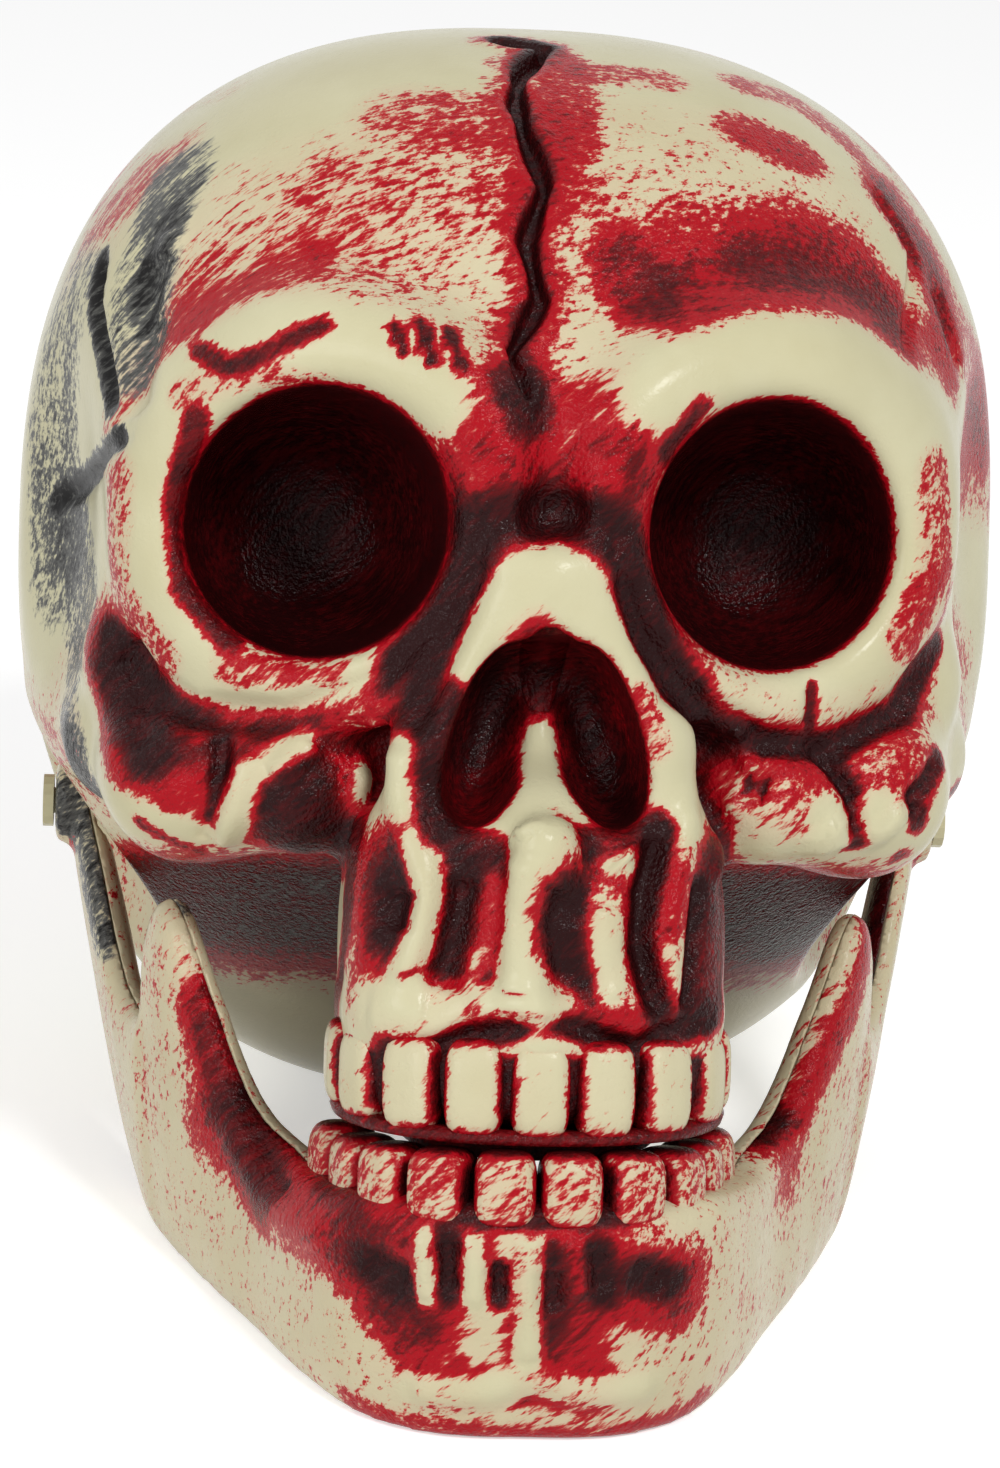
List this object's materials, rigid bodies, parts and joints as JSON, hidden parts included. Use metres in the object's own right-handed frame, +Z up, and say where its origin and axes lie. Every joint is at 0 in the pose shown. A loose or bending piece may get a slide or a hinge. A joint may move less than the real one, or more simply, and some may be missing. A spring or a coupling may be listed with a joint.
{
  "type": "skull decoration",
  "caption": "Life-size hollow moulded skull decoration with painted recesses and a hinged lower jaw that swings open on push pins.",
  "frame": {"origin": "middle of the footprint, on the table that the jaw's lower border and the back of the head rest on", "axes": "-Y out of the face, +X to the side that is on the right when the face is looked at, +Z up"},
  "size_m": [0.1498, 0.2144, 0.1751],
  "materials": {
    "skull_face": "glossy cream plastic, wiped with red and dark maroon paint that stays in the recesses",
    "skull_back": "glossy cream plastic, lightly wiped with grey and red paint",
    "jaw_face": "glossy cream plastic, wiped with red and dark maroon paint",
    "jaw_back": "glossy cream plastic, dark paint towards the teeth",
    "hinge_pins": "plain moulded plastic, painted over with the jaw"
  },
  "bodies": {
    "cranium": {"face_shell": "skull_face", "rear_shell": "skull_back", "hinge_pin_right": "hinge_pins", "hinge_pin_left": "hinge_pins", "pin_cap_right": "hinge_pins", "pin_cap_left": "hinge_pins"},
    "jaw": {"jaw_outer_shell": "jaw_face", "jaw_inner_shell": "jaw_back"}
  },
  "joints": [
    {"name": "jaw_hinge", "type": "hinge", "parent": "cranium", "child": "jaw", "pos_m": [0, -0.00131, 0.05475], "axis": [1, 0, 0], "range_deg": [0, 25]}
  ]
}
